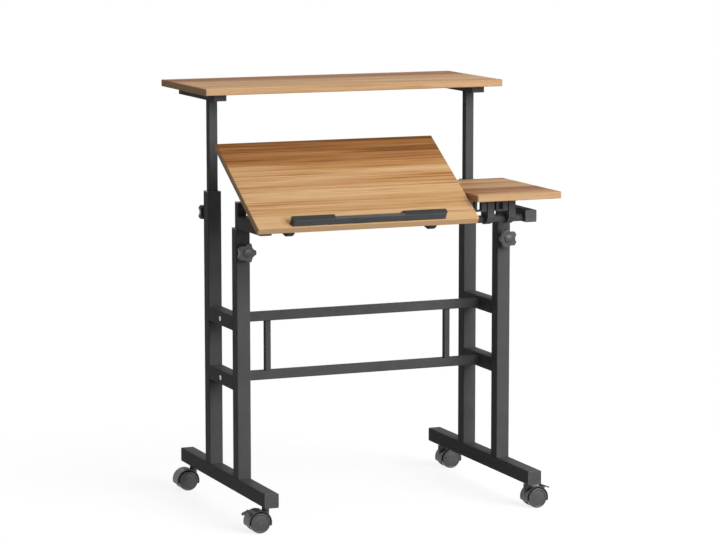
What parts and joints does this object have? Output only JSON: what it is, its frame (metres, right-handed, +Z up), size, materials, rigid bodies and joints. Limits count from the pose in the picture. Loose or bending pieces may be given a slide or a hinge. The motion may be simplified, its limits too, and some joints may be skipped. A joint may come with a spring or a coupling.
{
  "type": "mobile standing desk",
  "caption": "Mobile standing desk on twin-wheel casters: square-tube steel frame, tilting desktop with a laptop stop, level side tray and raised rear shelf, height set by knobs.",
  "frame": {"origin": "middle of the footprint of the whole desk, on the floor under its casters", "axes": "+X to the user's right, +Y to the back, away from the user, +Z up"},
  "size_m": [0.8212, 0.7054, 1.05],
  "materials": {
    "powder_coat": "fine-textured charcoal powder coat",
    "black_plastic": "satin moulded plastic",
    "wheel_plastic": "moulded nylon with a softer tread",
    "zinc": "bright zinc plate",
    "walnut_board": "wood-grain laminate with the grain along the width",
    "stop_rubber": "smooth dark elastomer"
  },
  "bodies": {
    "frame": {"foot_bar_left": "powder_coat", "foot_bar_right": "powder_coat", "foot_end_caps": "black_plastic", "post_front_left": "powder_coat", "post_front_right": "powder_coat", "post_rear_left": "powder_coat", "post_rear_right": "powder_coat", "post_bushings": "black_plastic", "side_bar_low_left": "powder_coat", "side_bar_high_left": "powder_coat", "side_bar_low_right": "powder_coat", "side_bar_high_right": "powder_coat", "crossbar_low": "powder_coat", "crossbar_high": "powder_coat", "crossbar_struts": "powder_coat", "frame_bolts": "zinc", "caster_stems": "zinc"},
    "shelf": {"shelf_board": "walnut_board", "shelf_tube_left": "powder_coat", "shelf_tube_right": "powder_coat", "shelf_bracket_left": "powder_coat", "shelf_bracket_right": "powder_coat", "shelf_screws": "zinc", "shelf_glides": "black_plastic"},
    "lift": {"desk_tube_left": "powder_coat", "desk_tube_right": "powder_coat", "arm_left": "powder_coat", "arm_right": "powder_coat", "pivot_rod": "powder_coat", "tube_caps": "black_plastic", "desk_glides": "black_plastic", "tray_board": "walnut_board", "tray_clamp_inner": "powder_coat", "tray_clamp_outer": "powder_coat", "tray_screws": "zinc"},
    "desktop": {"desktop_board": "walnut_board", "laptop_stop": "black_plastic", "stop_pads": "stop_rubber", "desktop_clamp_left": "powder_coat", "desktop_clamp_right": "powder_coat", "desktop_screws": "zinc"},
    "knob_front_left": {"knob_front_left": "black_plastic"},
    "knob_front_right": {"knob_front_right": "black_plastic"},
    "knob_rear_left": {"knob_rear_left": "black_plastic"},
    "knob_rear_right": {"knob_rear_right": "black_plastic"},
    "caster_front_left": {"caster_front_left": "black_plastic"},
    "caster_front_right": {"caster_front_right": "black_plastic"},
    "caster_rear_left": {"caster_rear_left": "black_plastic"},
    "caster_rear_right": {"caster_rear_right": "black_plastic"},
    "wheel_front_left_a": {"wheel_front_left_a": "wheel_plastic"},
    "wheel_front_left_b": {"wheel_front_left_b": "wheel_plastic"},
    "wheel_front_right_a": {"wheel_front_right_a": "wheel_plastic"},
    "wheel_front_right_b": {"wheel_front_right_b": "wheel_plastic"},
    "wheel_rear_left_a": {"wheel_rear_left_a": "wheel_plastic"},
    "wheel_rear_left_b": {"wheel_rear_left_b": "wheel_plastic"},
    "wheel_rear_right_a": {"wheel_rear_right_a": "wheel_plastic"},
    "wheel_rear_right_b": {"wheel_rear_right_b": "wheel_plastic"},
    "brake_left": {"brake_left": "black_plastic"},
    "brake_right": {"brake_right": "black_plastic"}
  },
  "joints": [
    {"name": "shelf_height", "type": "slide", "parent": "frame", "child": "shelf", "axis": [0, 0, 1], "range_m": [-0.22, 0.15]},
    {"name": "desk_height", "type": "slide", "parent": "frame", "child": "lift", "axis": [0, 0, 1], "range_m": [0, 0.3]},
    {"name": "desktop_tilt", "type": "hinge", "parent": "lift", "child": "desktop", "pos_m": [-0.1145, -0.2413, 0.73], "axis": [1, 0, 0], "range_deg": [-31, 29]},
    {"name": "knob_front_left_turn", "type": "hinge", "parent": "frame", "child": "knob_front_left", "pos_m": [-0.349, -0.1078, 0.662], "axis": [0, -1, 0], "range_deg": [0, 720]},
    {"name": "knob_rear_left_turn", "type": "hinge", "parent": "frame", "child": "knob_rear_left", "pos_m": [-0.349, 0.1312, 0.731], "axis": [0, 1, 0], "range_deg": [0, 720]},
    {"name": "knob_front_right_turn", "type": "hinge", "parent": "frame", "child": "knob_front_right", "pos_m": [0.349, -0.1078, 0.662], "axis": [0, -1, 0], "range_deg": [0, 720]},
    {"name": "knob_rear_right_turn", "type": "hinge", "parent": "frame", "child": "knob_rear_right", "pos_m": [0.349, 0.1312, 0.731], "axis": [0, 1, 0], "range_deg": [0, 720]},
    {"name": "caster_front_left_swivel", "type": "hinge", "parent": "frame", "child": "caster_front_left", "pos_m": [-0.349, -0.2513, 0.065], "axis": [0, 0, 1], "continuous": true},
    {"name": "wheel_front_left_a_roll", "type": "hinge", "parent": "caster_front_left", "child": "wheel_front_left_a", "pos_m": [-0.369, -0.2513, 0.025], "axis": [0, 1, 0], "continuous": true},
    {"name": "wheel_front_left_b_roll", "type": "hinge", "parent": "caster_front_left", "child": "wheel_front_left_b", "pos_m": [-0.369, -0.2513, 0.025], "axis": [0, 1, 0], "continuous": true},
    {"name": "brake_left_press", "type": "hinge", "parent": "caster_front_left", "child": "brake_left", "pos_m": [-0.39073, -0.2513, 0.05089], "axis": [0, -1, 0], "range_deg": [0, 20]},
    {"name": "caster_rear_left_swivel", "type": "hinge", "parent": "frame", "child": "caster_rear_left", "pos_m": [-0.349, 0.2747, 0.065], "axis": [0, 0, 1], "continuous": true},
    {"name": "wheel_rear_left_a_roll", "type": "hinge", "parent": "caster_rear_left", "child": "wheel_rear_left_a", "pos_m": [-0.369, 0.2747, 0.025], "axis": [0, 1, 0], "continuous": true},
    {"name": "wheel_rear_left_b_roll", "type": "hinge", "parent": "caster_rear_left", "child": "wheel_rear_left_b", "pos_m": [-0.369, 0.2747, 0.025], "axis": [0, 1, 0], "continuous": true},
    {"name": "caster_front_right_swivel", "type": "hinge", "parent": "frame", "child": "caster_front_right", "pos_m": [0.349, -0.2513, 0.065], "axis": [0, 0, 1], "continuous": true},
    {"name": "wheel_front_right_a_roll", "type": "hinge", "parent": "caster_front_right", "child": "wheel_front_right_a", "pos_m": [0.369, -0.2513, 0.025], "axis": [0, 1, 0], "continuous": true},
    {"name": "wheel_front_right_b_roll", "type": "hinge", "parent": "caster_front_right", "child": "wheel_front_right_b", "pos_m": [0.369, -0.2513, 0.025], "axis": [0, 1, 0], "continuous": true},
    {"name": "brake_right_press", "type": "hinge", "parent": "caster_front_right", "child": "brake_right", "pos_m": [0.39073, -0.2513, 0.05089], "axis": [0, 1, 0], "range_deg": [0, 20]},
    {"name": "caster_rear_right_swivel", "type": "hinge", "parent": "frame", "child": "caster_rear_right", "pos_m": [0.349, 0.2747, 0.065], "axis": [0, 0, 1], "continuous": true},
    {"name": "wheel_rear_right_a_roll", "type": "hinge", "parent": "caster_rear_right", "child": "wheel_rear_right_a", "pos_m": [0.369, 0.2747, 0.025], "axis": [0, 1, 0], "continuous": true},
    {"name": "wheel_rear_right_b_roll", "type": "hinge", "parent": "caster_rear_right", "child": "wheel_rear_right_b", "pos_m": [0.369, 0.2747, 0.025], "axis": [0, 1, 0], "continuous": true}
  ]
}
